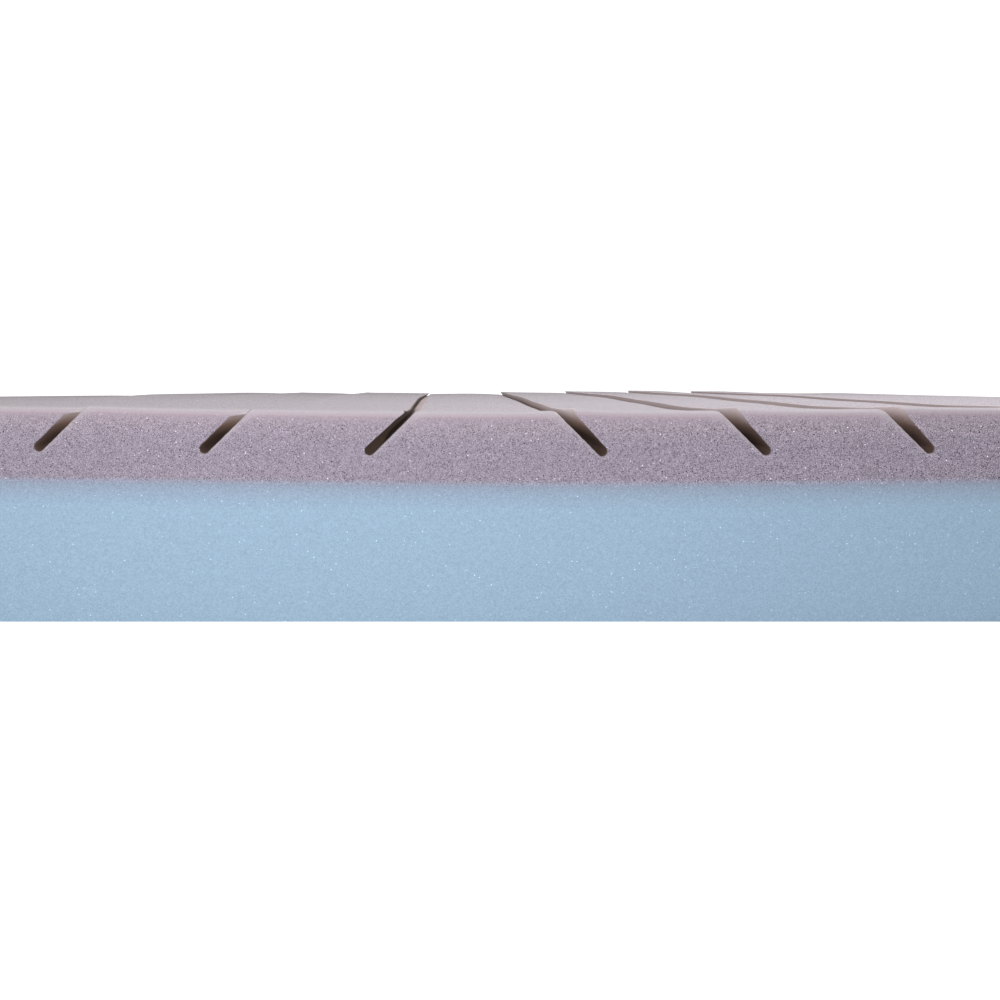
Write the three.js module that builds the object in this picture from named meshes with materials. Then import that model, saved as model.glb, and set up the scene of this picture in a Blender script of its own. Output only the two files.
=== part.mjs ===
// Foam mattress core: a comfort slab with slanted cuts, bonded to a firmer base slab.
// Millimetres, +Z up. X runs along the mattress and Y across it, with the front side at -Y.
// The origin is the middle of the underside.
import * as THREE from 'three';
import { mergeVertices } from 'three/addons/utils/BufferGeometryUtils.js';

// Driving dimensions
const LENGTH = 2000;
const WIDTH = 900;
const BASE_THICKNESS = 131;
const COMFORT_THICKNESS = 70;
const BOND_GAP = 0.3;
const TOP = BASE_THICKNESS + COMFORT_THICKNESS;

// Both slabs share one slow bow along the length, lowest a little right of the middle. Beyond its reach
// they lie level.
const BOW = { rise: 3, lowestX: 84, waveLength: 1500, reach: 450 };

// The slanted cuts: a slot with a round end, leaning 45 degrees
const CUT_WIDTH = 9.4;
const CUT_END_DEPTH = 37.5;
const CUT_END_Z = TOP - CUT_END_DEPTH;
const CUT_RADIUS = CUT_WIDTH / 2;
const CUT_HALF_SPAN = CUT_RADIUS * Math.SQRT2;
const CUT_FLOOR_Z = CUT_END_Z - CUT_RADIUS;

// One row for each cut. x is the centre of its round end, and lean is 1 where the cut leans to +X on its
// way up. mouth is its opening along the top, and bend how far below the top its thin lip starts to curl
// over. close says how much the thin lip leans across the cut, and leftLip and rightLip how far each lip
// has slid up the slope of the cut, at the front side, in the middle and at the back side.
const CUTS = [
  {
    x: -577, lean: 1, mouth: 0.6, bend: 7, close: [0, 0, 0],
    leftLip: [0.3, -1, -3], rightLip: [1.8, 3, 1],
  },
  {
    x: -422, lean: 1, mouth: 0.6, bend: 7, close: [0, 0, 0],
    leftLip: [0.3, -1, -3], rightLip: [1.8, 3, 1],
  },
  {
    x: -266, lean: 1, mouth: 0.6, bend: 7, close: [0, 0, 0],
    leftLip: [0, -1, -3], rightLip: [0.3, 3.2, 2],
  },
  {
    x: -110, lean: 1, mouth: 13.3, bend: 8, close: [2.5, 0, 8],
    leftLip: [0, 0, -0.5], rightLip: [0, -0.5, -2.6],
  },
  {
    x: 110, lean: -1, mouth: 17.5, bend: 12, close: [-3, 4, 12],
    leftLip: [0.4, -5, -4], rightLip: [3.4, 2, 3.4],
  },
  {
    x: 264.5, lean: -1, mouth: 17.5, bend: 12, close: [-4, 4, 8],
    leftLip: [0, 0, -2], rightLip: [3.2, 4.6, 2.6],
  },
  {
    x: 419, lean: -1, mouth: 18, bend: 12, close: [-4, 4, 8],
    leftLip: [0, -0.8, -2.8], rightLip: [2.8, 3, 2],
  },
  {
    x: 573.5, lean: -1, mouth: 17.5, bend: 12, close: [-4, 4, 8],
    leftLip: [0.6, -1.5, -5.5], rightLip: [3.6, 2.2, 0],
  },
];

// Where a cut gapes, its thin lip has a soft round and its thick lip a small chamfer. Where the lips
// meet, both are almost sharp.
const THIN_LIP = { thickness: 1.2, round: 2.5 };
const LIP_CHAMFER = 1.5;
const GAPING_MOUTH = 7;
// How far from a cut its lips still bend the top
const LIP_REACH = 45;

// The cuts left of the middle were sawn a little out of square
const SKEW = { slope: Math.tan(THREE.MathUtils.degToRad(2.05)), fromX: -20, fullX: -60, easeX: -650 };

// Right of the middle the slab is gathered a little towards the middle, more at the back than in front
const GATHER = { share: 0.032, fromX: 110, toX: 650 };

// How far the top sags behind the front side
const SAG = [
  { depth: 8, drop: 0 },
  { depth: 70, drop: 3.1 },
  { depth: 135, drop: 4.3 },
  { depth: 270, drop: 2.2 },
  { depth: 460, drop: 0 },
  { depth: 700, drop: 1 },
  { depth: WIDTH, drop: 1.5 },
];

// How far the top droops towards both ends
const END_DROOP = { drop: 11, reach: 120 };

// How far the back edge of the top is crowned
const BACK_CROWN = [
  { x: -1000, lift: 1.5 },
  { x: -920, lift: -8 },
  { x: -850, lift: -7.7 },
  { x: -720, lift: -8.5 },
  { x: -480, lift: -0.9 },
  { x: -220, lift: 0.6 },
  { x: -150, lift: 2.2 },
  { x: 0, lift: 3.2 },
  { x: 330, lift: 5.5 },
  { x: 460, lift: 5.7 },
  { x: 600, lift: 4.6 },
  { x: 741, lift: 0.2 },
  { x: 790, lift: -0.4 },
  { x: 885, lift: 0.5 },
  { x: 1000, lift: 5.5 },
];

// Softened edge around the top of the comfort slab
const EDGE_RADIUS = 4;
// Sections across the width, measured back from the front side
const DEPTHS = [0, 1.2, 4, 20, 50, 85, 120, 160, 210, 270, 340, 420, 510, 610, 710, 800, 896, 898.8, WIDTH];
// Points along each land of the top, as shares of its length
const LAND_SHARES = [0.1, 0.3, 0.55, 0.8, 0.93];
const INTERFACE_STEPS = 24;

const clamp01 = (value) => Math.min(1, Math.max(0, value));
const ease = (share) => share * share * (3 - 2 * share);

// Reads a table row by row, easing from one row's value to the next
function readTable(rows, key, column, at) {
  const next = rows.findIndex((row) => row[key] > at);
  if (next === 0) return rows[0][column];
  if (next === -1) return rows[rows.length - 1][column];
  const [low, high] = [rows[next - 1], rows[next]];
  const share = ease((at - low[key]) / (high[key] - low[key]));
  return low[column] + share * (high[column] - low[column]);
}

function bow(x) {
  const bentX = Math.min(BOW.reach, Math.max(-BOW.reach, x));
  return -BOW.rise * Math.cos((2 * Math.PI * (bentX - BOW.lowestX)) / BOW.waveLength);
}

// Value at a depth, from those at the front side, in the middle and at the back side
function acrossWidth([front, middle, back], depth) {
  const share = (2 * depth) / WIDTH;
  if (share < 1) return front + ease(share) * (middle - front);
  return middle + ease(share - 1) * (back - middle);
}

// Quarter-round drop of the top where it meets a side
function edgeDrop(distance) {
  if (distance >= EDGE_RADIUS) return 0;
  return EDGE_RADIUS - Math.sqrt(EDGE_RADIUS ** 2 - (EDGE_RADIUS - distance) ** 2);
}

// How far from a cut's centre line its lips part, at a height
function betweenLips({ lean, mouth, bend }, z) {
  const share = clamp01((z - (TOP - bend)) / (bend - THIN_LIP.thickness));
  return lean * (CUT_HALF_SPAN - mouth / 2) * share;
}

// Moves a point of the straight slab to where it lies on the uneven one
function settle(x, z, depth) {
  const share = ease(clamp01((z - CUT_FLOOR_Z) / (TOP - CUT_FLOOR_Z)));
  const fromEnd = LENGTH / 2 - Math.abs(x);
  const droop = END_DROOP.drop * ease(clamp01(1 - fromEnd / END_DROOP.reach));
  const crown = (depth / WIDTH) ** 2 * readTable(BACK_CROWN, 'x', 'lift', x);
  const nearTop = clamp01((z - (TOP - 2 * EDGE_RADIUS)) / (2 * EDGE_RADIUS));
  const edge = nearTop * edgeDrop(Math.min(depth, WIDTH - depth));
  let movedX = x;
  let lift = bow(x) + share * (crown - readTable(SAG, 'depth', 'drop', depth) - droop) - edge;
  for (const cut of CUTS) {
    const { lean, close, leftLip, rightLip } = cut;
    const offset = x - (cut.x + lean * (z - CUT_END_Z));
    const beyond = offset - betweenLips(cut, z);
    const distance = Math.max(0, Math.abs(offset) - CUT_HALF_SPAN);
    const near = share * Math.exp(-distance / LIP_REACH);
    const slide = near * acrossWidth(beyond < 0 ? leftLip : rightLip, depth);
    lift += slide;
    movedX += lean * (slide - edge * Math.exp(-distance / (3 * EDGE_RADIUS)));
    if (beyond * lean < 0) movedX += lean * near * acrossWidth(close, depth);
  }
  const aboveBond = clamp01((z - BASE_THICKNESS) / (CUT_FLOOR_Z - BASE_THICKNESS));
  const skewed = clamp01((SKEW.fromX - x) / (SKEW.fromX - SKEW.fullX))
    * clamp01((x + LENGTH / 2) / (SKEW.easeX + LENGTH / 2));
  movedX -= SKEW.slope * skewed * aboveBond * depth;
  const gathered = Math.min(Math.max(0, x - GATHER.fromX), GATHER.toX - GATHER.fromX)
    * clamp01((LENGTH / 2 - x) / (LENGTH / 2 - GATHER.toX));
  movedX -= (GATHER.share * gathered * aboveBond * depth) / WIDTH;
  return [movedX, z + lift];
}

// The outline of one cut, from its left lip down around its round end and up to its right lip
function traceCut(outline, { x, lean, mouth, bend }) {
  const gaping = Math.min(1, mouth / GAPING_MOUTH);
  const chamfer = LIP_CHAMFER * gaping;
  const wallPoint = (below, side) => {
    const midX = x + lean * (CUT_END_DEPTH - below);
    return [midX + side * CUT_HALF_SPAN, TOP - below];
  };
  const [thickX] = wallPoint(0, lean);
  const thinX = thickX - lean * mouth;
  const tip = [thinX - lean * THIN_LIP.thickness * (1 - gaping), TOP - THIN_LIP.thickness];
  const land = [thinX - lean * THIN_LIP.round * gaping, TOP];
  const bendStart = wallPoint(bend, -lean);
  const bendTurn = wallPoint(bend / 2, -lean);
  const startAngle = Math.PI - (lean * Math.PI) / 4;
  const roundEnd = () => outline.absarc(x, CUT_END_Z, CUT_RADIUS, startAngle, startAngle + Math.PI, false);
  if (lean > 0) {
    outline.lineTo(...land);
    outline.quadraticCurveTo(thinX, TOP, ...tip);
    outline.quadraticCurveTo(...bendTurn, ...bendStart);
    roundEnd();
    outline.lineTo(...wallPoint(chamfer, lean));
    outline.lineTo(thickX + chamfer, TOP);
  } else {
    outline.lineTo(thickX - chamfer, TOP);
    outline.lineTo(...wallPoint(chamfer, lean));
    roundEnd();
    outline.lineTo(...bendStart);
    outline.quadraticCurveTo(...bendTurn, ...tip);
    outline.quadraticCurveTo(thinX, TOP, ...land);
  }
}

// Points of the bond line, which both slabs repeat so that the gap between them stays even
function bondLine(z) {
  return Array.from({ length: INTERFACE_STEPS + 1 }, (_, i) => [LENGTH * (i / INTERFACE_STEPS - 0.5), z]);
}

function comfortOutline() {
  const end = LENGTH / 2;
  const outline = new THREE.Shape();
  const bottom = bondLine(BASE_THICKNESS + BOND_GAP / 2).reverse();
  outline.moveTo(...bottom[0]);
  bottom.slice(1).forEach((point) => outline.lineTo(...point));
  outline.lineTo(-end, TOP - EDGE_RADIUS);
  outline.lineTo(-end + EDGE_RADIUS * 0.3, TOP - EDGE_RADIUS * 0.3);
  outline.lineTo(-end + EDGE_RADIUS, TOP);
  const addLand = (fromX, toX) => {
    LAND_SHARES.forEach((share) => outline.lineTo(fromX + share * (toX - fromX), TOP));
  };
  let landStart = -end + EDGE_RADIUS;
  for (const cut of CUTS) {
    const { x, lean, mouth } = cut;
    const thickX = x + lean * (CUT_END_DEPTH + CUT_HALF_SPAN);
    addLand(landStart, lean > 0 ? thickX - mouth : thickX);
    traceCut(outline, cut);
    landStart = outline.currentPoint.x;
  }
  addLand(landStart, end - EDGE_RADIUS);
  outline.lineTo(end - EDGE_RADIUS, TOP);
  outline.lineTo(end - EDGE_RADIUS * 0.3, TOP - EDGE_RADIUS * 0.3);
  outline.lineTo(end, TOP - EDGE_RADIUS);
  outline.closePath();
  return outline;
}

function baseOutline() {
  const end = LENGTH / 2;
  const outline = new THREE.Shape();
  outline.moveTo(-end, 0);
  outline.lineTo(end, 0);
  bondLine(BASE_THICKNESS - BOND_GAP / 2).reverse().forEach((point) => outline.lineTo(...point));
  outline.closePath();
  return outline;
}

// Sweeps an outline from the back side to the front side and settles every point
function sweep(outline, depths, place) {
  const steps = depths.length - 1;
  const options = { depth: 1, steps, curveSegments: 4, bevelEnabled: false };
  const swept = new THREE.ExtrudeGeometry(outline, options);
  swept.deleteAttribute('normal');
  swept.deleteAttribute('uv');
  const geometry = mergeVertices(swept, 1e-5);
  const points = geometry.attributes.position;
  for (let i = 0; i < points.count; i += 1) {
    const depth = depths[steps - Math.round(points.getZ(i) * steps)];
    const [x, z] = place(points.getX(i), points.getY(i), depth);
    points.setXYZ(i, x, depth - WIDTH / 2, z);
  }
  geometry.computeVertexNormals();
  return geometry;
}

const mauveFoam = new THREE.MeshStandardMaterial({ color: 0xa89cae, roughness: 0.95, metalness: 0 });
const blueFoam = new THREE.MeshStandardMaterial({ color: 0xa1bbd3, roughness: 0.95, metalness: 0 });

const comfortLayer = new THREE.Mesh(sweep(comfortOutline(), DEPTHS, settle), mauveFoam);
comfortLayer.name = 'comfort_layer';

// The base slab is flat underneath and takes only the bow along its bond line
const bowTopOnly = (x, z) => [x, z > 0 ? z + bow(x) : z];
const baseLayer = new THREE.Mesh(sweep(baseOutline(), [0, WIDTH], bowTopOnly), blueFoam);
baseLayer.name = 'base_layer';

const mattress = new THREE.Group();
mattress.add(baseLayer, comfortLayer);

export default mattress;
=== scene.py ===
# %% [markdown]
# # A bare foam mattress core
#
# The mattress is two slabs of foam that a maker saws from blocks and bonds together: a mauve comfort
# slab with slanted cuts across it, on a pale blue base slab. This lesson models both slabs as fine
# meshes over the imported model, gives each foam its own cells and colour, and lights them softly.
# Everything is in metres, in the model's own frame: X along the mattress, Y across it, Z up.

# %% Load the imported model
import math

import bpy
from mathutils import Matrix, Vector, noise


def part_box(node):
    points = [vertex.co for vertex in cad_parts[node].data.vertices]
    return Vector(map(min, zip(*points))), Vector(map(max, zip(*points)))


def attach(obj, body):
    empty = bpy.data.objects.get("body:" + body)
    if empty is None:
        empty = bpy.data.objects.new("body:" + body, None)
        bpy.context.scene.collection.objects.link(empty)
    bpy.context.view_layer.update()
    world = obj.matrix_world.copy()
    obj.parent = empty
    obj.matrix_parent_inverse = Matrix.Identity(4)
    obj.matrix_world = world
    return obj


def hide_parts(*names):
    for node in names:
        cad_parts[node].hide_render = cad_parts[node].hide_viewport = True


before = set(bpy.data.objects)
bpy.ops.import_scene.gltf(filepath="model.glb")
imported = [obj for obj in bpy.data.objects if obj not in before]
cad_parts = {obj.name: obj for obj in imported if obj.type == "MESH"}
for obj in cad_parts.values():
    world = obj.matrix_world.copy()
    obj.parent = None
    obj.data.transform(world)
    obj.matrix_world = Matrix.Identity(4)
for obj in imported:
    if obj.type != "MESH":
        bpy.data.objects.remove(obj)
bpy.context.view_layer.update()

# %% [markdown]
# ## Sizes
#
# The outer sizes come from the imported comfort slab, so the fine slab can't drift away from it. The
# other sizes are the maker's own: how thick the slabs are, and how wide and deep the saw cuts. A cut
# slants by 45 degrees, so along the top it is wider than across itself, by the factor SLANT.

# %% Sizes of the slabs and the cuts
MM = 0.001
low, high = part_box("comfort_layer")
LENGTH = high[0] - low[0]
WIDTH = high[1] - low[1]
BASE_THICKNESS = 131 * MM
COMFORT_THICKNESS = 70 * MM
TOP = BASE_THICKNESS + COMFORT_THICKNESS
EDGE_RADIUS = 4 * MM

CUT_WIDTH = 9.4 * MM
CUT_RADIUS = CUT_WIDTH / 2
CUT_END_Z = TOP - 37.5 * MM
CUT_FLOOR_Z = CUT_END_Z - CUT_RADIUS
SLANT = math.sqrt(2)
print("slab", round(LENGTH, 3), "by", round(WIDTH, 3), "top at", round(TOP, 3))

# %% [markdown]
# ## The eight cuts
#
# The cuts on the left half lean to the right on their way up, and those on the right half lean to the
# left. At the top each cut leaves a thin lip that bends over its mouth, and the foam on both sides of
# it has slid a little. Every cut has the same make, so one row for each holds what differs, and one
# set of functions makes them all.

# %% Table of the cuts
# x of the round end, lean on the way up, mouth along the top, how deep the thin lip bends, how much it
# closes and how far each lip has slid at the front side, in the middle and at the back side, all in
# millimetres. pale is the painted light and shade on the walls: how far down they are painted pale
# as lit, at the sides and further in, their darkest painted shade below that, and how much further
# down the lower wall is painted pale. glow is the light that comes through the foam at the mouth and
# at the round end.
CUTS = [
    {"x": -577, "lean": 1, "mouth": 0.6, "bend": 7, "close": (0, 0, 0),
     "left": (0.3, -1, -3), "right": (1.8, 3, 1), "pale": (20, 6, 0, 0), "glow": (0.5, 0.02)},
    {"x": -422, "lean": 1, "mouth": 0.6, "bend": 7, "close": (0, 0, 0),
     "left": (0.3, -1, -3), "right": (1.8, 3, 1), "pale": (20, 6, 0, 0), "glow": (0.5, 0.02)},
    {"x": -266, "lean": 1, "mouth": 0.6, "bend": 7, "close": (0, 0, 0),
     "left": (0, -1, -3), "right": (0.3, 3.2, 2), "pale": (20, 6, 0, 0), "glow": (0.5, 0.02)},
    {"x": -110, "lean": 1, "mouth": 13.3, "bend": 8, "close": (2.5, 0, 8),
     "left": (0, 0, -0.5), "right": (0, -0.5, -2.6), "pale": (0.1, 0.1, -1, 8), "glow": (0.03, 0.04)},
    {"x": 110, "lean": -1, "mouth": 17.5, "bend": 12, "close": (-3, 4, 12),
     "left": (0.4, -5, -4), "right": (3.4, 2, 3.4), "pale": (20, 9, -0.15, 0), "glow": (0.42, 0.014)},
    {"x": 264.5, "lean": -1, "mouth": 17.5, "bend": 12, "close": (-4, 4, 8),
     "left": (0, 0, -2), "right": (3.2, 4.6, 2.6), "pale": (20, 13, -0.15, 0), "glow": (0.26, 0.003)},
    {"x": 419, "lean": -1, "mouth": 18, "bend": 12, "close": (-4, 4, 8),
     "left": (0, -0.8, -2.8), "right": (2.8, 3, 2), "pale": (20, 13, -0.15, 0), "glow": (0.26, 0.003)},
    {"x": 573.5, "lean": -1, "mouth": 17.5, "bend": 12, "close": (-4, 4, 8),
     "left": (0.6, -1.5, -5.5), "right": (3.6, 2.2, 0), "pale": (20, 13, -0.15, 0), "glow": (0.26, 0.003)},
]
LIP_THICKNESS, LIP_ROUND, LIP_CHAMFER = 1.2 * MM, 2.5 * MM, 1.5 * MM
WIDE_MOUTH = 7 * MM
print("cuts at x =", [cut["x"] for cut in CUTS])

# %% [markdown]
# ## How the slab lies
#
# A foam slab is never quite flat. Both slabs share a slow bow, the top sags a little behind its front
# side, its back edge is crowned between drooping ends, and each lip of a cut has slid up or down the
# slope of that cut. The cuts aren't quite square to the front side either: on the left half they drift
# to the left on their way back, and on the right half they draw together. This could be sculpted, but
# then a new size would need new sculpting. So short tables say how far, and one function moves any
# point of a straight slab to where it lies on the real one.

# %% Tables of the unevenness
BOW_RISE, BOW_LOWEST_X, BOW_WAVE, BOW_REACH = 3 * MM, 84 * MM, 1500 * MM, 450 * MM
END_DROOP, END_REACH = 11 * MM, 120 * MM
SKEW_SLOPE = math.tan(math.radians(2.05))
SKEW_FROM_X, SKEW_FULL_X, SKEW_EASE_X = -20 * MM, -60 * MM, -650 * MM
GATHER, GATHER_FROM_X, GATHER_TO_X = 0.032, 110 * MM, 650 * MM
# depth behind the front side and drop of the top there, in millimetres
SAG = [(8, 0), (70, 3.1), (135, 4.3), (270, 2.2), (460, 0), (700, 1), (900, 1.5)]
# x along the back edge and lift of the top there, in millimetres
BACK_CROWN = [
    (-1000, 1.5), (-920, -8), (-850, -7.7), (-720, -8.5), (-480, -0.9), (-220, 0.6), (-150, 2.2), (0, 3.2),
    (330, 5.5), (460, 5.7), (600, 4.6), (741, 0.2), (790, -0.4), (885, 0.5), (1000, 5.5),
]
print("deepest sag", max(drop for _, drop in SAG), "mm")
print("highest crown", max(lift for _, lift in BACK_CROWN), "mm")


# %% Helpers that ease between values
def clamp01(value):
    return min(1.0, max(0.0, value))


def ease(share):
    return share * share * (3 - 2 * share)


def read_table(rows, at):
    """Eases from one row's value to the next, in metres."""
    at_mm = at / MM
    if at_mm <= rows[0][0]:
        return rows[0][1] * MM
    for (x0, v0), (x1, v1) in zip(rows, rows[1:]):
        if at_mm < x1:
            return (v0 + ease((at_mm - x0) / (x1 - x0)) * (v1 - v0)) * MM
    return rows[-1][1] * MM


def across_width(values, depth):
    """Eases from the front side's value to the middle's and on to the back side's, in metres."""
    front, middle, back = values
    share = 2 * depth / WIDTH
    if share < 1:
        return (front + ease(share) * (middle - front)) * MM
    return (middle + ease(share - 1) * (back - middle)) * MM


# %% [markdown]
# ## From the straight slab to the real one
#
# Everything below works on a straight slab first, because its cuts, columns and edges are easy to
# reckon there. Each point then goes through the function settle. It bows and sags the slab, rounds the
# long edges of the top, lets the two lips of each cut slide and close, and turns the cuts a little.

# %% Where a point of the straight slab comes to lie
ROUNDED_DEPTH = 2 * EDGE_RADIUS
ROUNDED_BESIDE_CUT = 3 * EDGE_RADIUS
LIP_REACH = 45 * MM


def bow(x):
    bent_x = min(BOW_REACH, max(-BOW_REACH, x))
    return -BOW_RISE * math.cos(2 * math.pi * (bent_x - BOW_LOWEST_X) / BOW_WAVE)


def edge_drop(distance, radius):
    """Quarter-round drop of a surface, this far in from its side."""
    inward = min(radius, max(0.0, distance))
    return radius - math.sqrt(radius**2 - (radius - inward) ** 2)


def between_lips(cut, z):
    """How far from a cut's centre line its lips part, at a height."""
    bend = cut["bend"] * MM
    share = clamp01((z - (TOP - bend)) / (bend - LIP_THICKNESS))
    return cut["lean"] * (SLANT * CUT_RADIUS - cut["mouth"] * MM / 2) * share


def turn_of_cuts(x, z, depth):
    """How far the cuts drift to the left on their way back."""
    skewed = clamp01((SKEW_FROM_X - x) / (SKEW_FROM_X - SKEW_FULL_X))
    skewed *= clamp01((x + LENGTH / 2) / (SKEW_EASE_X + LENGTH / 2))
    gathered = min(max(0.0, x - GATHER_FROM_X), GATHER_TO_X - GATHER_FROM_X)
    gathered *= clamp01((LENGTH / 2 - x) / (LENGTH / 2 - GATHER_TO_X))
    above_bond = clamp01((z - BASE_THICKNESS) / (CUT_FLOOR_Z - BASE_THICKNESS))
    return above_bond * depth * (SKEW_SLOPE * skewed + GATHER * gathered / WIDTH)


def settle(x, z, depth):
    """Moves a point of the straight comfort slab to where it lies on the uneven one."""
    share = ease(clamp01((z - CUT_FLOOR_Z) / (TOP - CUT_FLOOR_Z)))
    moved_x, lift = x - turn_of_cuts(x, z, depth), bow(x)
    droop = END_DROOP * ease(clamp01(1 - (LENGTH / 2 - abs(x)) / END_REACH))
    lift += share * ((depth / WIDTH) ** 2 * read_table(BACK_CROWN, x) - read_table(SAG, depth) - droop)
    near_top = clamp01((z - (TOP - ROUNDED_DEPTH)) / ROUNDED_DEPTH)
    edge = near_top * edge_drop(min(depth, WIDTH - depth), EDGE_RADIUS)
    lift -= edge
    for cut in CUTS:
        offset = x - (cut["x"] * MM + cut["lean"] * (z - CUT_END_Z))
        beyond = offset - between_lips(cut, z)
        distance = max(0.0, abs(offset) - CUT_RADIUS * SLANT)
        near = share * math.exp(-distance / LIP_REACH)
        slide = near * across_width(cut["left"] if beyond < 0 else cut["right"], depth)
        lift += slide
        moved_x += (slide - edge * math.exp(-distance / ROUNDED_BESIDE_CUT)) * cut["lean"]
        if beyond * cut["lean"] < 0:
            moved_x += near * cut["lean"] * across_width(cut["close"], depth)
    return moved_x, z + lift


print("middle of the top lies at", [round(value, 4) for value in settle(0, TOP, WIDTH / 2)])

# %% [markdown]
# ## Curves for the outline
#
# A slab with saw cuts is one outline swept across the width. Its round parts are drawn with two plain
# shapes, a circle and a quadratic curve, and a third helper finds a point at any share of a path, so
# that the same number of points can follow every wall.


# %% Helpers that draw round parts
def curve(start, control, end, steps):
    """Points along a quadratic curve."""
    shares = [i / steps for i in range(steps + 1)]
    return [
        tuple((1 - t) ** 2 * a + 2 * t * (1 - t) * b + t * t * c for a, b, c in zip(start, control, end))
        for t in shares
    ]


def on_circle(centre, radius, degrees):
    angle = math.radians(degrees)
    return (centre[0] + radius * math.cos(angle), centre[1] + radius * math.sin(angle))


def along(path, share):
    """The point at this share of a path's length."""
    lengths = [math.dist(p, q) for p, q in zip(path, path[1:])]
    left = share * sum(lengths)
    for p, q, length in zip(path, path[1:], lengths):
        if left <= length and length > 0:
            return tuple(a + (b - a) * left / length for a, b in zip(p, q))
        left -= length
    return path[-1]


# %% [markdown]
# ## The walls of one cut
#
# A cut has two walls that rise from its round end. The lower wall, on the side to which the cut leans,
# ends in a small chamfer. The upper wall is the underside of the thin lip, which bends towards the
# mouth and ends in a round nose. The walls can flare, because the saw opens them a little where it
# leaves the foam: flare holds how far the lower and the upper wall give way. A bevel would round both
# lips alike, so the outline is drawn point by point.

# %% Draw a cut's round end and its walls
CURVE_STEPS = 6
FLARE_FADE = 8 * MM


def cut_end_point(cut, degrees, flare):
    """A point of the round end. flare widens the cut's (lower, upper) side, easing between them."""
    first, last = flare if cut["lean"] < 0 else reversed(flare)
    share = ease(clamp01((degrees - (180 - 45 * cut["lean"])) / 180))
    return on_circle((cut["x"] * MM, CUT_END_Z), CUT_RADIUS + first + share * (last - first), degrees)


def cut_wall(cut, side, flare):
    """One wall, from under the round end up over its lip. side is -1 on the left and 1 on the right."""
    lean, x, mouth = cut["lean"], cut["x"] * MM, cut["mouth"] * MM
    out = flare[0] if side == lean else flare[1]
    opened = min(1, mouth / WIDE_MOUTH)
    chamfer = LIP_CHAMFER * opened

    def flared(z):
        return side * SLANT * out * clamp01((TOP - z) / FLARE_FADE + opened)

    def wall_x(z):
        return x + lean * (z - CUT_END_Z) + side * SLANT * CUT_RADIUS + flared(z)

    foot = cut_end_point(cut, 270 + side * 45, flare)
    if side == lean:
        lip = [(wall_x(TOP - chamfer), TOP - chamfer), (wall_x(TOP) + side * chamfer, TOP)]
        return [foot, *lip]
    turns = [270 + side * (45 + 90 * i / CURVE_STEPS) for i in range(CURVE_STEPS + 1)]
    round_end = [cut_end_point(cut, turn, flare) for turn in turns]
    bend = cut["bend"] * MM
    tip_x = x + lean * (TOP - CUT_END_Z + SLANT * CUT_RADIUS - mouth) + flared(TOP)
    bend_start, bend_turn = (wall_x(TOP - bend), TOP - bend), (wall_x(TOP - bend / 2), TOP - bend / 2)
    tip = (tip_x + side * LIP_THICKNESS * (1 - opened), TOP - LIP_THICKNESS)
    corner, land = (tip_x, TOP), (tip_x + side * LIP_ROUND * opened, TOP)
    nose = [*curve(bend_start, bend_turn, tip, CURVE_STEPS), *curve(tip, corner, land, CURVE_STEPS)[1:]]
    return [*round_end, *nose]


# %% [markdown]
# ## A grid that follows the cuts
#
# A boolean would saw the cuts in one step, but it leaves long thin faces that shade badly. A grid is
# better: its columns run up from the bond to the top, they lean with the cuts beside them, and the
# cells inside each cut are taken out later. The columns crowd next to the lips, and the rows crowd at
# the round ends and at the top, because that is where the outline turns.

# %% Draw the columns of the grid
ROWS_BELOW = 8
ROWS_BESIDE = 46
ROWS = ROWS_BELOW + ROWS_BESIDE
ROW_CROWDING = 0.09
CUT_CELLS = 4
# How far out the columns under a round end start at the bond, and bend on their way up, in radii
SPREAD_AT_BOND, SPREAD_BELOW_END = 2.6, 2.2


def rise(from_x, control, to):
    """The lower part of a column, from the bond up to a point, bending round a cut's end."""
    start = (from_x, BASE_THICKNESS)
    control = control or tuple((a + b) / 2 for a, b in zip(start, to))
    return curve(start, control, to, ROWS_BELOW)[:-1]


def wall_column(path, from_x, control=None):
    """Rises from the bond to a wall's foot and follows the wall, closest at its round end and its lip."""
    shares = [j / ROWS_BESIDE for j in range(ROWS_BESIDE + 1)]
    beside = [along(path, share - ROW_CROWDING * math.sin(2 * math.pi * share)) for share in shares]
    return rise(from_x, control, path[0]) + beside


def cut_columns(cut, flare):
    """The columns below a cut's round end, the first and last of which go on up its walls."""
    x, made = cut["x"] * MM, []
    for k in range(CUT_CELLS + 1):
        foot = cut_end_point(cut, 225 + 90 * k / CUT_CELLS, flare)
        path = [foot, foot]
        if k in (0, CUT_CELLS):
            path = cut_wall(cut, -1 if k == 0 else 1, flare)
        from_x = x + (2 * k / CUT_CELLS - 1) * SPREAD_AT_BOND * CUT_RADIUS
        control = (x + SPREAD_BELOW_END * (foot[0] - x), CUT_END_Z + SPREAD_BELOW_END * (foot[1] - CUT_END_Z))
        made.append(wall_column(path, from_x, control))
    return made


def end_column(side):
    """The slab's plain end, with its softened top edge."""
    x = side * LENGTH / 2
    centre = (x - side * EDGE_RADIUS, TOP - EDGE_RADIUS)
    turns = [90 - side * (90 - 90 * i / CURVE_STEPS) for i in range(CURVE_STEPS + 1)]
    return wall_column([(x, CUT_FLOOR_Z), *(on_circle(centre, EDGE_RADIUS, turn) for turn in turns)], x)


# %% Fill the lands between the cuts
# Shares of a land's width, close together next to its lips
LAND = [
    0, 0.005, 0.012, 0.024, 0.045, 0.08, 0.14, 0.22, 0.32, 0.43, 0.54, 0.65, 0.76, 0.85, 0.915, 0.953, 0.976,
    0.988, 0.995, 1,
]
END_LAND = [
    0, 0.002, 0.005, 0.01, 0.02, 0.04, 0.07, 0.11, 0.16, 0.22, 0.29, 0.37, 0.45, 0.53, 0.61, 0.69, 0.77, 0.84,
    0.9, 0.95, 0.98, 0.993, 1,
]


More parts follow.
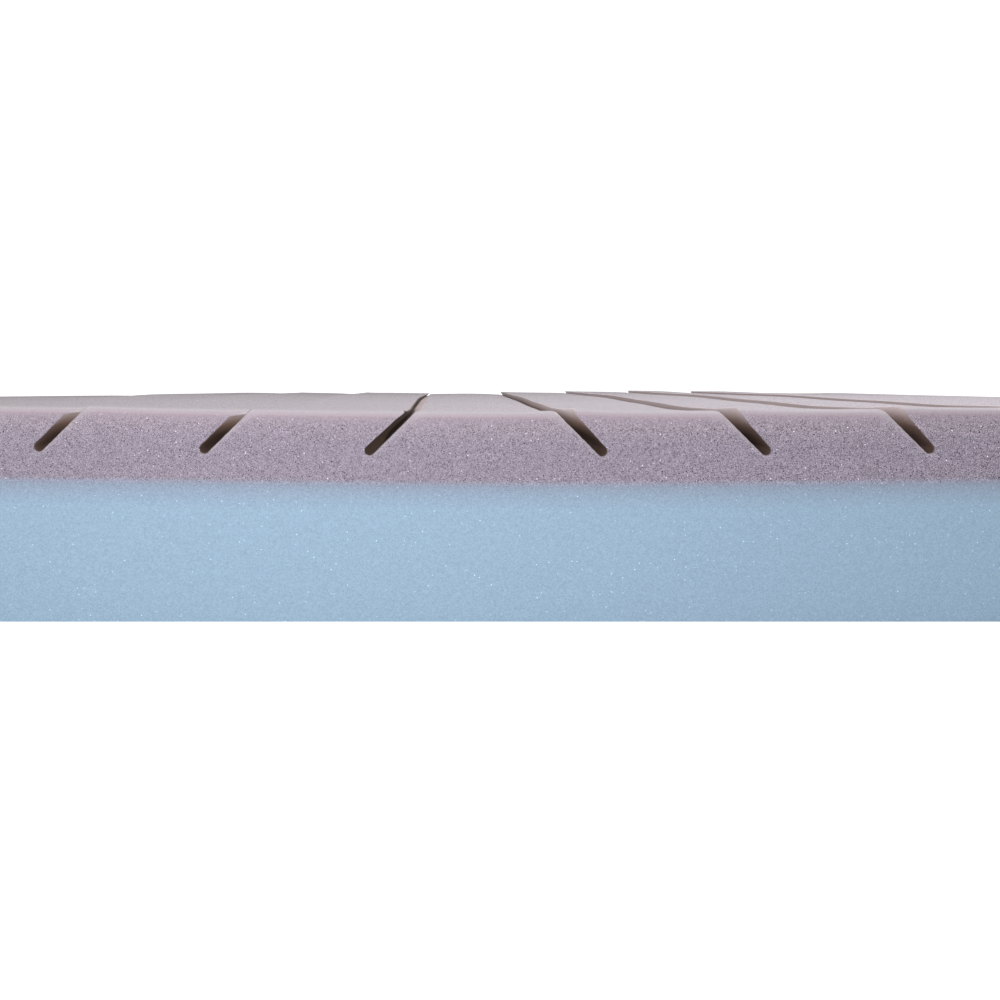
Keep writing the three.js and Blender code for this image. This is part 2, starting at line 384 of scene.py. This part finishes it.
def outline_columns(flare):
    """Every column of the grid, from the left end to the right, and the range of columns at each cut."""
    columns, cut_ranges = [], []
    left = end_column(-1)
    for number in range(len(CUTS) + 1):
        last_land = number == len(CUTS)
        beyond = [end_column(1)] if last_land else cut_columns(CUTS[number], flare)
        shares = LAND
        if number == 0:
            shares = [1 - share for share in reversed(END_LAND)]
        elif last_land:
            shares = END_LAND
        for share in shares[:-1]:
            pairs = zip(left, beyond[0])
            columns.append([tuple(a + (b - a) * share for a, b in zip(p, q)) for p, q in pairs])
        if last_land:
            return columns + beyond, cut_ranges
        cut_ranges.append((len(columns), len(columns) + CUT_CELLS))
        columns += beyond[:-1]
        left = beyond[-1]


columns, cut_ranges = outline_columns((0, 0))
print("grid of", len(columns) - 1, "by", ROWS, "cells, cuts at", cut_ranges)

# %% [markdown]
# ## Sweeping an outline
#
# Both slabs are made the same way, as by hand: a grid is added, the cells inside the cuts are deleted,
# and the sheet is extruded section by section from the back side to the front side. The sections lie
# close together near both sides, where the edges are soft. Last, every point goes to its real place.


# %% A helper that sweeps a grid into a slab
def sweep_grid(name, across, up, holes, depths):
    """Extrudes a unit grid through the depths. Points keep their column and row as x and z until placed."""
    bpy.ops.object.select_all(action="DESELECT")
    upright = (math.pi / 2, 0, 0)
    bpy.ops.mesh.primitive_grid_add(x_subdivisions=across, y_subdivisions=up, size=1, rotation=upright)
    slab = bpy.context.object
    slab.name = slab.data.name = name
    bpy.ops.object.transform_apply(location=True, rotation=True, scale=True)
    bpy.ops.object.mode_set(mode="EDIT")
    bpy.ops.mesh.select_mode(type="FACE")
    bpy.ops.mesh.select_all(action="DESELECT")
    bpy.ops.object.mode_set(mode="OBJECT")
    for face in slab.data.polygons:
        column, row = (face.center.x + 0.5) * across, (face.center.z + 0.5) * up
        face.select = any(first < column < last and row > floor for first, last, floor in holes)
    bpy.ops.object.mode_set(mode="EDIT")
    bpy.ops.mesh.delete(type="FACE")
    bpy.ops.mesh.select_all(action="SELECT")
    bpy.ops.transform.translate(value=(0, WIDTH / 2, 0))
    for near, far in zip(reversed(depths[:-1]), reversed(depths[1:])):
        bpy.ops.mesh.extrude_region_move(TRANSFORM_OT_translate={"value": (0, near - far, 0)})
    bpy.ops.mesh.select_all(action="SELECT")
    bpy.ops.mesh.normals_make_consistent(inside=False)
    bpy.ops.object.mode_set(mode="OBJECT")
    return slab


# %% [markdown]
# ## The surface of the cuts
#
# The saw leaves a slightly ragged edge where it breaks through a side, and the foam's cut edges are
# never razor sharp. So the walls of each cut wander by a few tenths of a millimetre, most of all near
# the sides where they are seen. Deeper in the slab the weight of the foam leans them on each other.
# Both could be displace modifiers, but a function can also tell the two walls and the mouth apart.
# The wander is noise, which gets a fixed seed, so that every run saws the same edge.

# %% Wander and closing of the walls
RAGGED, RAGGED_SIZE = 0.4 * MM, 2.4 * MM
RAGGED_INSIDE, RAGGED_FADE = 0.3, 15 * MM
OPEN_MOUTH, CLOSING_REACH, CLOSED_SHARE = 2 * MM, 6 * MM, 0.97
CLOSED_FRONT, CLOSED_BACK = (90 * MM, 240 * MM), (15 * MM, 60 * MM)
# Without a seed of its own, this noise would be a different one in each run
RAGGED_SEED = 7
noise.seed_set(RAGGED_SEED)


def ragged_edge(x, z, depth):
    """How far a cut's wall wanders, across and up, fading away from the sides."""
    point = Vector((x, depth, z)) / RAGGED_SIZE
    fade = RAGGED_INSIDE + (1 - RAGGED_INSIDE) * math.exp(-min(depth, WIDTH - depth) / RAGGED_FADE)
    push = noise.noise_vector(point) * RAGGED * fade
    return push.x, push.z


def close_inside(x, z, cut, depth):
    """Leans a cut's walls on each other, further in than the sides and below the mouth."""
    closed = CLOSED_SHARE * ease(clamp01((TOP - OPEN_MOUTH - z) / CLOSING_REACH))
    for inward, (start, full) in ((depth, CLOSED_FRONT), (WIDTH - depth, CLOSED_BACK)):
        closed *= ease(clamp01((inward - start) / (full - start)))
    across = ((x - cut["x"] * MM) - cut["lean"] * (z - CUT_END_Z)) / 2 * closed
    return x - across, z + cut["lean"] * across


# %% [markdown]
# ## Tones painted on the slab
#
# The walls of a cut are painted pale at the mouth, as the light that falls in, and dark below, as
# shade. The foam beside the lower wall is painted pale, as a highlight where its edge catches the
# light, and light glows through the thin foam at a mouth. A texture can't know where a cut is, and an
# image would need an unwrapped slab, so the tones are worked out for each point and kept there as
# attributes, which the material reads.

# %% Tones at a point of the slab
# How far the painted highlight beside the lower wall of a cut reaches, wider near the top
EDGE_REACH, WIDER_REACH, WIDER_DEPTH = 4 * MM, 7 * MM, 26 * MM
SIDE_TONE_REACH = 60 * MM
GLOW_REACH, GLOW_FALL, GLOW_DEPTH = 28 * MM, 1.7, 140 * MM
GLOW_CORNER, GLOW_LIP, LOWER_GLOW = 30 * MM, 2 * MM, 0.3
SIDE_RIM, MOUTH_SHARE = 2.5 * MM, 0.03
SKIN_LIP_REACH = 15 * MM


def painted_highlight_edge(x, z):
    """How near a point lies to the lower wall of a cut, from 0 to 1, for the painted highlight there."""
    nearest = 0.0
    for cut in CUTS:
        off = cut["lean"] * ((x - cut["x"] * MM) - cut["lean"] * (z - CUT_END_Z)) / SLANT
        beyond_end = clamp01((z - CUT_FLOOR_Z + CUT_RADIUS) / (2 * CUT_RADIUS))
        reach = EDGE_REACH + WIDER_REACH * clamp01(1 - (TOP - z) / WIDER_DEPTH)
        if off > 0:
            nearest = max(nearest, beyond_end * clamp01(1 - (off - CUT_RADIUS) / reach))
    return nearest


def painted_wall_shade(cut, z, inward, on_lower):
    """A cut wall's painted light and shade: 1 pale as lit, 0 taupe as shade and -1 deeper shade still."""
    at_side, further_in, darkest, more_on_lower = cut["pale"]
    reach = further_in + (at_side - further_in) * clamp01(1 - inward / SIDE_TONE_REACH)
    reach += more_on_lower if on_lower else 0
    return min(1.0, max(darkest, 1 - (TOP - z) / (reach * MM)))


def half_to_full(share):
    return 0.5 + 0.5 * clamp01(share)


def glow_through(cut, z, depth):
    """The light that glows through the foam into a cut, strongest at the mouth near the lit front."""
    mouth, deep = cut["glow"]
    near_mouth = clamp01(1 - (TOP - z) / GLOW_REACH) ** GLOW_FALL * math.exp(-depth / GLOW_DEPTH)
    near_mouth *= half_to_full(depth / GLOW_CORNER)
    return deep + (mouth - deep) * near_mouth * half_to_full((TOP - z) / GLOW_LIP)


def wall_paint(cut, z, depth, on_lower):
    """How far a point of a wall is inside its cut, from 0 to 1, its painted light and shade and its glow."""
    inward = min(depth, WIDTH - depth)
    at_side, _, darkest, _ = cut["pale"]
    skin_lip = LIP_THICKNESS * max(0, -darkest) * clamp01(1 - inward / SKIN_LIP_REACH)
    turned_in = clamp01((TOP - z) / (MOUTH_SHARE * at_side * MM + skin_lip))
    in_cut = clamp01(inward / SIDE_RIM) * turned_in
    share = LOWER_GLOW if on_lower else 1
    return in_cut, painted_wall_shade(cut, z, inward, on_lower), share * in_cut * glow_through(cut, z, depth)


# %% [markdown]
# ## The comfort slab
#
# The comfort slab is the swept grid with every point sent to its place. Each cut opens a little in the
# last millimetre before a side, so a point lies between three outlines: the plain one, one with the
# lower walls flared and one with the upper walls flared. The same loop paints five attributes: how far
# inside a cut a point is, how far below the top, how near the lower wall of a cut, for the painted
# highlight there, the painted light and shade on the wall of the cut, and how much light glows through
# the foam.

# %% Model the comfort slab
LOWER_EDGE, UPPER_EDGE = 1.2 * MM, 0.6 * MM
SMOOTH_LIP_ROWS = 2
DEPTHS = [MM * d for d in (
    0, 0.15, 0.45, 0.9, 1.5, 2.3, 3.4, 5, 7.5, 11, 15, 20, 27, 35, 45, 57, 70, 85, 100, 117, 135, 155, 180,
    210, 240, 270, 305, 340, 380, 420, 460, 505, 555, 605, 655, 705, 755, 800, 840, 868, 884, 892, 896, 898,
    899.2, 899.7,
)] + [WIDTH]


def place_comfort(slab):
    across = len(columns) - 1
    lower_flared, _ = outline_columns((MM, 0))
    upper_flared, _ = outline_columns((0, MM))
    cut_at = {k: cut for cut, (first, last) in zip(CUTS, cut_ranges) for k in range(first, last + 1)}
    wall_numbers = {k for ends in cut_ranges for k in ends}
    lower_walls = {last if cut["lean"] > 0 else first for cut, (first, last) in zip(CUTS, cut_ranges)}
    names = ("in_cut", "painted_wall_shade", "glow", "below_top", "painted_highlight_edge")
    for name in names:
        slab.data.attributes.new(name, "FLOAT", "POINT")
    *wall_marks, below_top, highlight_beside_wall = (slab.data.attributes[name] for name in names)
    for vertex in slab.data.vertices:
        column = round((vertex.co.x + 0.5) * across)
        row = round((vertex.co.z + 0.5) * ROWS)
        depth = vertex.co.y + WIDTH / 2
        inward = min(depth, WIDTH - depth)
        lower, upper = (edge_drop(inward, radius) for radius in (LOWER_EDGE, UPPER_EDGE))
        plain, low_out, up_out = (grid[column][row] for grid in (columns, lower_flared, upper_flared))
        x, z = (p + (a - p) * lower / MM + (b - p) * upper / MM for p, a, b in zip(plain, low_out, up_out))
        on_wall = (column in wall_numbers and ROWS_BELOW <= row) or (column in cut_at and row == ROWS_BELOW)
        if on_wall:
            x, z = close_inside(x, z, cut_at[column], depth)
            if row < ROWS - SMOOTH_LIP_ROWS:
                dx, dz = ragged_edge(x, z, depth)
                x, z = x + dx, z + dz
        below_top.data[vertex.index].value = TOP - z
        # How much painted highlight a point gets beside the lower wall of a cut
        highlight_beside_wall.data[vertex.index].value = painted_highlight_edge(x, z)
        # The painted light and shade on a cut's wall, and the glow into it
        if on_wall and row < ROWS:
            paint = wall_paint(cut_at[column], z, depth, column in lower_walls)
            for mark, value in zip(wall_marks, paint):
                mark.data[vertex.index].value = value
        x, z = settle(x, z, depth)
        vertex.co = (x, vertex.co.y, z)


holes = [(first, last, ROWS_BELOW) for first, last in cut_ranges]
comfort = sweep_grid("comfort_foam_slab", len(columns) - 1, ROWS, holes, DEPTHS)
place_comfort(comfort)
print("comfort slab faces:", len(comfort.data.polygons))

# %% [markdown]
# ## The base slab
#
# The base is a plain block: flat underneath, square at its sides, and bowed only along the bond. A
# cube would do, but its one face could not bend along the bond. So it is swept from a plain grid too,
# with rows close together under the bond, where its colour fades.

# %% Model the base slab
BASE_ROWS = [0, 3, 20, 45, 70, 90, 103, 112, 118, 122, 125, 127.5, 129.5, 131]
BASE_COLUMNS = 80
BASE_DEPTHS = [MM * d for d in (0, 3, 60, 160, 300, 450, 600, 740, 840, 897)] + [WIDTH]


def place_base(slab):
    below_bond = slab.data.attributes.new("below_bond", "FLOAT", "POINT")
    up = len(BASE_ROWS) - 1
    for vertex in slab.data.vertices:
        x = vertex.co.x * LENGTH
        z = BASE_ROWS[round((vertex.co.z + 0.5) * up)] * MM
        below_bond.data[vertex.index].value = BASE_THICKNESS - z
        vertex.co = (x, vertex.co.y, z + bow(x) * z / BASE_THICKNESS)


base = sweep_grid("base_foam_slab", BASE_COLUMNS, len(BASE_ROWS) - 1, [], BASE_DEPTHS)
place_base(base)
print("base slab faces:", len(base.data.polygons))

# %% [markdown]
# ## Smooth and sharp
#
# Foam rolls softly over its lips but turns sharply from a side into a cut. Smooth shading alone would
# blur the sides, and flat shading would show every face. Smoothing by angle keeps both: only edges
# that turn more than the given angle stay sharp.

# %% Shade both slabs
SHARP_ANGLE = math.radians(50)
for slab in (comfort, base):
    bpy.ops.object.select_all(action="DESELECT")
    slab.select_set(True)
    bpy.context.view_layer.objects.active = slab
    bpy.ops.object.shade_smooth_by_angle(angle=SHARP_ANGLE)
    print(slab.name, "shaded, size", [round(side, 4) for side in slab.dimensions])


# %% [markdown]
# ## Writing shaders as sums
#
# A material is a sum of small effects, so it reads best as one. The class below wraps a shader socket
# and turns Python's arithmetic into Math nodes. Any other node comes from one method, which sets the
# node's own settings first and then fills or links its sockets.

# %% A socket that takes arithmetic
class Socket:
    def __init__(self, shader, socket):
        self.shader, self.socket = shader, socket

    def _math(self, operation, a, b=0.0):
        return self.shader.node("ShaderNodeMath", {"operation": operation}, {0: a, 1: b})

    def __add__(self, other):
        return self._math("ADD", self, other)

    def __sub__(self, other):
        return self._math("SUBTRACT", self, other)

    def __rsub__(self, other):
        return self._math("SUBTRACT", other, self)

    def __mul__(self, other):
        return self._math("MULTIPLY", self, other)

    def __truediv__(self, other):
        return self._math("DIVIDE", self, other)

    def __pow__(self, other):
        return self._math("POWER", self, other)

    __radd__, __rmul__ = __add__, __mul__

    def __abs__(self):
        return self._math("ABSOLUTE", self)

    def clamped(self):
        return self.shader.node("ShaderNodeClamp", {}, {"Value": self})

    def ramp(self, start, reach):
        """0 up to the start, then rising to 1 over the reach."""
        return ((self - start) / reach).clamped()


# %% A shader that takes nodes
class Shader:
    """Builds the node tree of a material or a world."""

    def __init__(self, owner):
        owner.use_nodes = True
        self.tree = owner.node_tree
        self.tree.nodes.clear()

    def node(self, kind, settings, inputs, output=0):
        made = self.tree.nodes.new(kind)
        for setting, value in settings.items():
            setattr(made, setting, value)
        for name, value in inputs.items():
            if isinstance(value, Socket):
                self.tree.links.new(value.socket, made.inputs[name])
            else:
                made.inputs[name].default_value = value
        return Socket(self, made.outputs[output]) if made.outputs else None

    def mix(self, share, a, b):
        """Mixes two colours: 6, 7 and 2 are the Mix node's colour sockets."""
        return self.node("ShaderNodeMix", {"data_type": "RGBA"}, {0: share, 6: a, 7: b}, 2)

    def scaled(self, colour, by):
        return self.node("ShaderNodeVectorMath", {"operation": "SCALE"}, {0: colour, "Scale": by})

    def attribute(self, name):
        return self.node("ShaderNodeAttribute", {"attribute_name": name}, {}, "Fac")


# %% [markdown]
# ## Foam
#
# Open-cell foam is a froth of tiny bubbles, sawn through. Its cut face shows four things: cells under a
# millimetre across that catch the light each in their own way, scattered dark pores where a larger
# bubble was opened, with their shade painted into the colour, a few glints where a cell window faces
# the light, painted as bright specks, and a faint drift of tone from one patch to the next. An image
# would repeat or blur over two metres, so each is a texture in object coordinates, at the real size of
# the cells. The cells and pores also dent the surface through a bump.

# %% A foam shader
DRIFT_SIZE, DRIFT_SHARE = 9 * MM, 0.15
DOT_RADIUS, DOT_SOFTNESS = 0.65 * MM, 2.0
CELLS_WITHOUT_PORE, CELLS_WITHOUT_GLINT = 0.3, 0.2
BUMP_DEPTH = 0.5 * MM
ROUGHNESS, GLOSS = 0.95, 0.2


def linear(*channels):
    """A colour given as 0 to 255, none of it near black, as the shader's linear values."""
    return (*(((channel / 255 + 0.055) / 1.055) ** 2.4 for channel in channels), 1.0)


class Foam(Shader):
    """One foam: how large its cells are, how far apart its pores and glints, and how strong each is."""

    def __init__(self, owner, cell_size, cells, pore_spacing, pores, glint_spacing, glints):
        super().__init__(owner)
        self.at = self.node("ShaderNodeTexCoord", {}, {}, "Object")
        pick, _ = self.scatter(cell_size)
        drift = self.node("ShaderNodeTexNoise", {}, {
            "Vector": self.at, "Scale": 1 / DRIFT_SIZE, "Detail": 2.0}, "Fac")
        self.cells = (pick - 0.5) * cells + (drift - 0.5) * (DRIFT_SHARE * cells)
        # Painted shade of the pores, as dark dots in the colour
        self.pores = self.dots(pore_spacing, CELLS_WITHOUT_PORE) * pores
        # Painted highlights: the glints, as bright dots in the colour
        self.glints = self.dots(glint_spacing, CELLS_WITHOUT_GLINT) * glints

    def axis(self, name):
        return self.node("ShaderNodeSeparateXYZ", {}, {"Vector": self.at}, name)

    def scatter(self, spacing):
        """A random value for each of a crowd of cells, and the distance from the cell's middle."""
        crowd = {"Vector": self.at, "Scale": 1 / spacing}
        colour = self.node("ShaderNodeTexVoronoi", {}, crowd, "Color")
        distance = self.node("ShaderNodeTexVoronoi", {}, crowd, "Distance")
        return self.node("ShaderNodeSeparateColor", {}, {"Color": colour}, "Red"), distance

    def dots(self, spacing, without):
        """Soft round dots of uneven strength, one to a cell at most, with none in a share of the cells."""
        pick, distance = self.scatter(spacing)
        spot = ((1.0 - distance * (spacing / DOT_RADIUS)) * DOT_SOFTNESS).clamped()
        return spot * pick.ramp(without, 1 - without)

    def finish(self, colour, contrast, bump, glow=(0, 0, 0, 1)):
        """Puts grain on the colour, dents the surface and closes the material."""
        height = (self.cells - self.pores) * contrast
        # The pores' painted shade and the painted glints go into the tone of the colour
        tone = 1.0 + height + self.glints * contrast
        normal = self.node("ShaderNodeBump", {}, {
            "Strength": bump, "Distance": BUMP_DEPTH, "Height": height}, "Normal")
        surface = self.node("ShaderNodeBsdfPrincipled", {}, {
            "Base Color": self.scaled(colour, tone), "Roughness": ROUGHNESS, "Specular IOR Level": GLOSS,
            "Emission Color": glow, "Emission Strength": 1.0, "Normal": normal}, "BSDF")
        self.node("ShaderNodeOutputMaterial", {}, {"Surface": surface})
        print("foam of", len(self.tree.nodes), "nodes")


# %% [markdown]
# ### Comfort foam
#
# The comfort foam is coarse and mauve. Its sawn sides show every pore, while the top skin is smoother
# and paler, and painted a little darker towards the back as shade. Just under the edge the foam is
# pinker, and next to the bond it takes on a little of the blue below it. Each change is a mix of two
# colours, in the order in which they lie over each other: first the body, then the skin, then the bond.

# %% Comfort foam from the top down to the bond
MAUVE = linear(120, 112, 124)
SKIN = linear(149, 143, 148)
PINK = linear(142, 129, 137)
BOND_TINT = linear(122, 136, 154)
PINK_FROM, PINK_REACH, PINK_FALL = 3 * MM, 32 * MM, 0.4
SKIN_REACH, RIM_REACH, RIM_SHARE = 6.5 * MM, 0.9 * MM, 0.55
BOND_REACH, BOND_SHARE, BOND_RAGGED = 5 * MM, 0.6, 0.15

comfort_foam = bpy.data.materials.new("comfort_foam")
foam = Foam(
    comfort_foam, cell_size=0.46 * MM, cells=1.35, pore_spacing=2.6 * MM, pores=1.4,
    glint_spacing=5.5 * MM, glints=3.2)
below_top = foam.attribute("below_top")
inward = WIDTH / 2 - abs(foam.axis("Y"))
body = foam.mix(below_top.ramp(PINK_FROM, PINK_REACH) ** PINK_FALL, PINK, MAUVE)
rim = RIM_SHARE * (1.0 - inward / RIM_REACH).clamped()
colour = foam.mix((below_top / SKIN_REACH + rim).clamped(), SKIN, body)
to_bond = (below_top - (COMFORT_THICKNESS - BOND_REACH)) / BOND_REACH
bond_share = (to_bond + foam.cells * BOND_RAGGED).clamped()
colour = foam.mix(bond_share * BOND_SHARE, colour, BOND_TINT)

# %% [markdown]
# ### Inside the cuts
#
# A cut is painted pale at its mouth, as the light that falls in, and a warm, dark taupe further down,
# as shade. The foam beside its lower wall is painted pale, as a highlight on its edge. Near the front
# side light comes through the thin foam at the mouth. Light that passes through foam could be
# subsurface scattering, but that is slow and isn't exported. A weak glow in the emission colour looks
# the same here.

# %% Comfort foam in and beside the cuts
# Painted light at a cut's mouth, and a warm taupe painted as the shade further down
MOUTH_LIGHT = linear(174, 162, 163)
SHADED_TAUPE = linear(94, 74, 67)
PALE_GLOW = (1, 0.94, 1.02, 1)
WARM_GLOW = (1, 0.66, 0.52, 1)
EDGE_HIGHLIGHT_SHARE = 0.6
DARKER_SHARE = 0.6
WARM_DEPTH = 16 * MM

# A painted highlight beside the lower wall of a cut, in the paler skin colour
edge_highlight = foam.attribute("painted_highlight_edge")
colour = foam.mix(edge_highlight * EDGE_HIGHLIGHT_SHARE, colour, SKIN)
# Painted light and shade on a cut's walls: pale at the mouth, taupe below, deeper shade in the darkest
tone = foam.attribute("painted_wall_shade")
darker = 1.0 - (0.0 - tone).clamped() * DARKER_SHARE
inside = foam.scaled(foam.mix(tone.clamped(), SHADED_TAUPE, MOUTH_LIGHT), darker)
in_cut = foam.attribute("in_cut")
colour = foam.mix(in_cut, colour, inside)
glow_colour = foam.mix((below_top / WARM_DEPTH).clamped(), PALE_GLOW, WARM_GLOW)
glow = foam.scaled(glow_colour, foam.attribute("glow"))

# %% [markdown]
# ### Shade and grain of the comfort foam
#
# The top is painted darker towards the back, more so on the left, as shade where it turns away from the
# light. The grain is full on the sides, weaker on the top, in a cut, in the painted highlight beside it
# and at the bond, and a little stronger on the right, where less light comes straight from the front.
# All of this only scales the grain, so it stays one texture.

# %% Finish the comfort foam
TOP_SKIN = 3 * MM
SHADE_FROM_Y, SHADE_REACH, SHADE, SHADE_TILT = -0.2, 0.65, 0.27, 0.13
GRAIN_FROM, GRAIN_REACH, LEAST_GRAIN, MOST_GRAIN = 2 * MM, 15 * MM, 0.12, 0.88
TOP_GRAIN, TOP_GRAIN_FROM, TOP_GRAIN_REACH = 0.4, 3 * MM, 12 * MM
HIGHLIGHTED_GRAIN, BONDED_GRAIN, CUT_GRAIN = 0.7, 0.6, 0.7
STRENGTH, STRONGER_RIGHT, STRONGER_REACH = 1.05, 0.22, 0.3

on_top = 1.0 - (below_top / TOP_SKIN).clamped()
# Painted shade: the top is darker towards the back, more so on the left
painted_back_shade = foam.axis("Y").ramp(SHADE_FROM_Y, SHADE_REACH) * (SHADE - SHADE_TILT * foam.axis("X"))
colour = foam.scaled(colour, 1.0 - painted_back_shade * on_top)
grain = below_top.ramp(GRAIN_FROM, GRAIN_REACH) * (1.0 - HIGHLIGHTED_GRAIN * edge_highlight)
grain = grain * (1.0 - BONDED_GRAIN * bond_share)
top_grain = TOP_GRAIN * on_top * inward.ramp(TOP_GRAIN_FROM, TOP_GRAIN_REACH)
strength = STRENGTH + STRONGER_RIGHT * (foam.axis("X") / STRONGER_REACH).clamped()
contrast = strength * (LEAST_GRAIN + MOST_GRAIN * grain + top_grain) * (1.0 - CUT_GRAIN * in_cut)
foam.finish(colour, contrast, 0.2, glow)
comfort.data.materials.append(comfort_foam)

# %% [markdown]
# ### Base foam
#
# The base foam is fine and even, a pale blue with hardly any grain and a few bright glints, painted
# into its colour as highlights. Close to the bond it is a little greyer.

# %% Base foam material
BLUE = linear(122, 143, 161)
BLUE_GREY = linear(115, 121, 136)
GREY_REACH, GREY_RAGGED, GREY_FALL = 24 * MM, 0.4, 0.6

base_foam = bpy.data.materials.new("base_foam")
foam = Foam(
    base_foam, cell_size=0.85 * MM, cells=0.27, pore_spacing=2.8 * MM, pores=0.2,
    glint_spacing=5.4 * MM, glints=1.5)
fade = (foam.attribute("below_bond") / GREY_REACH + foam.cells * GREY_RAGGED).clamped()
colour = foam.mix(fade ** GREY_FALL, BLUE_GREY, BLUE)
foam.finish(colour, 1.0, 0.2)
base.data.materials.append(base_foam)

# %% [markdown]
# ## Each slab in place of its part
#
# Each fine slab stands for its imported node, which is hidden, and rides on the one body.

for slab, node, finish in ((comfort, "comfort_layer", "comfort_foam"), (base, "base_layer", "base_foam")):
    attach(slab, "root")
    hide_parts(node)
    print(slab.name, "stands for", node)

# %% [markdown]
# ## The floor
#
# The mattress lies on white paper that has no visible edge or shadow. A bright lamp on plain paper
# would shade it unevenly, so the paper gives off a part of its white itself.

# %% Floor
FLOOR_SIZE = 30
PAPER_COLOUR, PAPER_GLOW = (0.5, 0.5, 0.5, 1), 0.66
bpy.ops.mesh.primitive_plane_add(size=FLOOR_SIZE)
floor = bpy.context.object
floor.name = "studio_floor"
white_paper = bpy.data.materials.new("white_paper")
paper = Shader(white_paper)
paper.node("ShaderNodeOutputMaterial", {}, {"Surface": paper.node("ShaderNodeBsdfPrincipled", {}, {
    "Base Color": PAPER_COLOUR, "Roughness": 0.9, "Emission Color": (1, 1, 1, 1),
    "Emission Strength": PAPER_GLOW}, "BSDF")})
floor.data.materials.append(white_paper)
print("floor of", FLOOR_SIZE, "m")

# %% [markdown]
# ## Lights
#
# One large soft light stands high on the right, and a smaller one stands in front and a little to the
# left, so the front side is brightest on the left. A third light behind keeps the back side from going
# dull, and it is so low that it passes under the top.


# %% Lights
def soft_light(name, place, target, size, power, colour=(1.0, 1.0, 1.0)):
    bpy.ops.object.light_add(type="AREA", location=place)
    light = bpy.context.object
    light.name = name
    light.data.size = size
    light.data.energy = power
    light.data.color = colour
    light.rotation_euler = (Vector(target) - Vector(place)).to_track_quat("-Z", "Y").to_euler()
    print("light", name, "of", power, "W")


soft_light("high_right", (0.8, -0.35, 1.5), (0.2, 0, 0.2), size=1.0, power=21, colour=(1.0, 0.99, 1.0))
soft_light("front_left", (-0.24, -1.4, 0.35), (-0.24, -0.45, 0.2), size=0.6, power=9)
soft_light("low_behind", (0.1, 1.9, 0.15), (0.1, 0.45, 0.1), size=0.26, power=14)

# %% [markdown]
# ## The white surround
#
# The surround is dim from the sides and bright from above, as in a studio with a white ceiling, which
# shades the cuts from the top down. A band behind the mattress is white, and the camera sees the
# surround white all round.

# %% Surround
FROM_SIDES, FROM_CEILING, WHITE = 0.28, 0.8, 1.1
world = bpy.data.worlds.new("white_surround")
sky = Shader(world)
towards = sky.node("ShaderNodeTexCoord", {}, {}, "Generated")
back = sky.node("ShaderNodeSeparateXYZ", {}, {"Vector": towards}, "Y")
up = sky.node("ShaderNodeSeparateXYZ", {}, {"Vector": towards}, "Z")
room = FROM_SIDES + FROM_CEILING * up.ramp(0.3, 0.3)
backdrop = back.ramp(0.5, 0.15) * (1.0 - up.ramp(0.55, 0.2))
seen = sky.node("ShaderNodeLightPath", {}, {}, "Is Camera Ray")
brightness = room + (WHITE - room) * (backdrop + seen).clamped()
sky.node("ShaderNodeOutputWorld", {}, {"Surface": sky.node(
    "ShaderNodeBackground", {}, {"Color": (1, 1, 1, 1), "Strength": brightness})})
bpy.context.scene.world = world
bpy.context.scene.view_settings.view_transform = "Standard"
print("surround of", len(sky.tree.nodes), "nodes")

# %% [markdown]
# ## The camera
#
# The camera stands close in front, a little above the top, and looks level across the mattress. A
# camera that looks down would make upright lines lean, so it stays level, and the sensor is shifted
# instead until the vanishing point lies where the picture has it.

# %% Camera
CAMERA_X = -21.7 * MM
CAMERA_AHEAD = 580 * MM
CAMERA_Z = 226.1 * MM
FOCAL_PIXELS = 615
FRAME_PIXELS = 1000
VANISHING_X, VANISHING_Y = 463, 382
camera_place = (CAMERA_X, -WIDTH / 2 - CAMERA_AHEAD, CAMERA_Z)
bpy.ops.object.camera_add(location=camera_place, rotation=(math.pi / 2, 0, 0))
camera = bpy.context.object
camera.data.lens = camera.data.sensor_width * FOCAL_PIXELS / FRAME_PIXELS
camera.data.shift_x = (FRAME_PIXELS / 2 - VANISHING_X) / FRAME_PIXELS
camera.data.shift_y = (VANISHING_Y - FRAME_PIXELS / 2) / FRAME_PIXELS
camera.data.clip_start = 0.01
bpy.context.scene.camera = camera
print("camera at", [round(value, 4) for value in camera_place], "lens", round(camera.data.lens, 2), "mm")
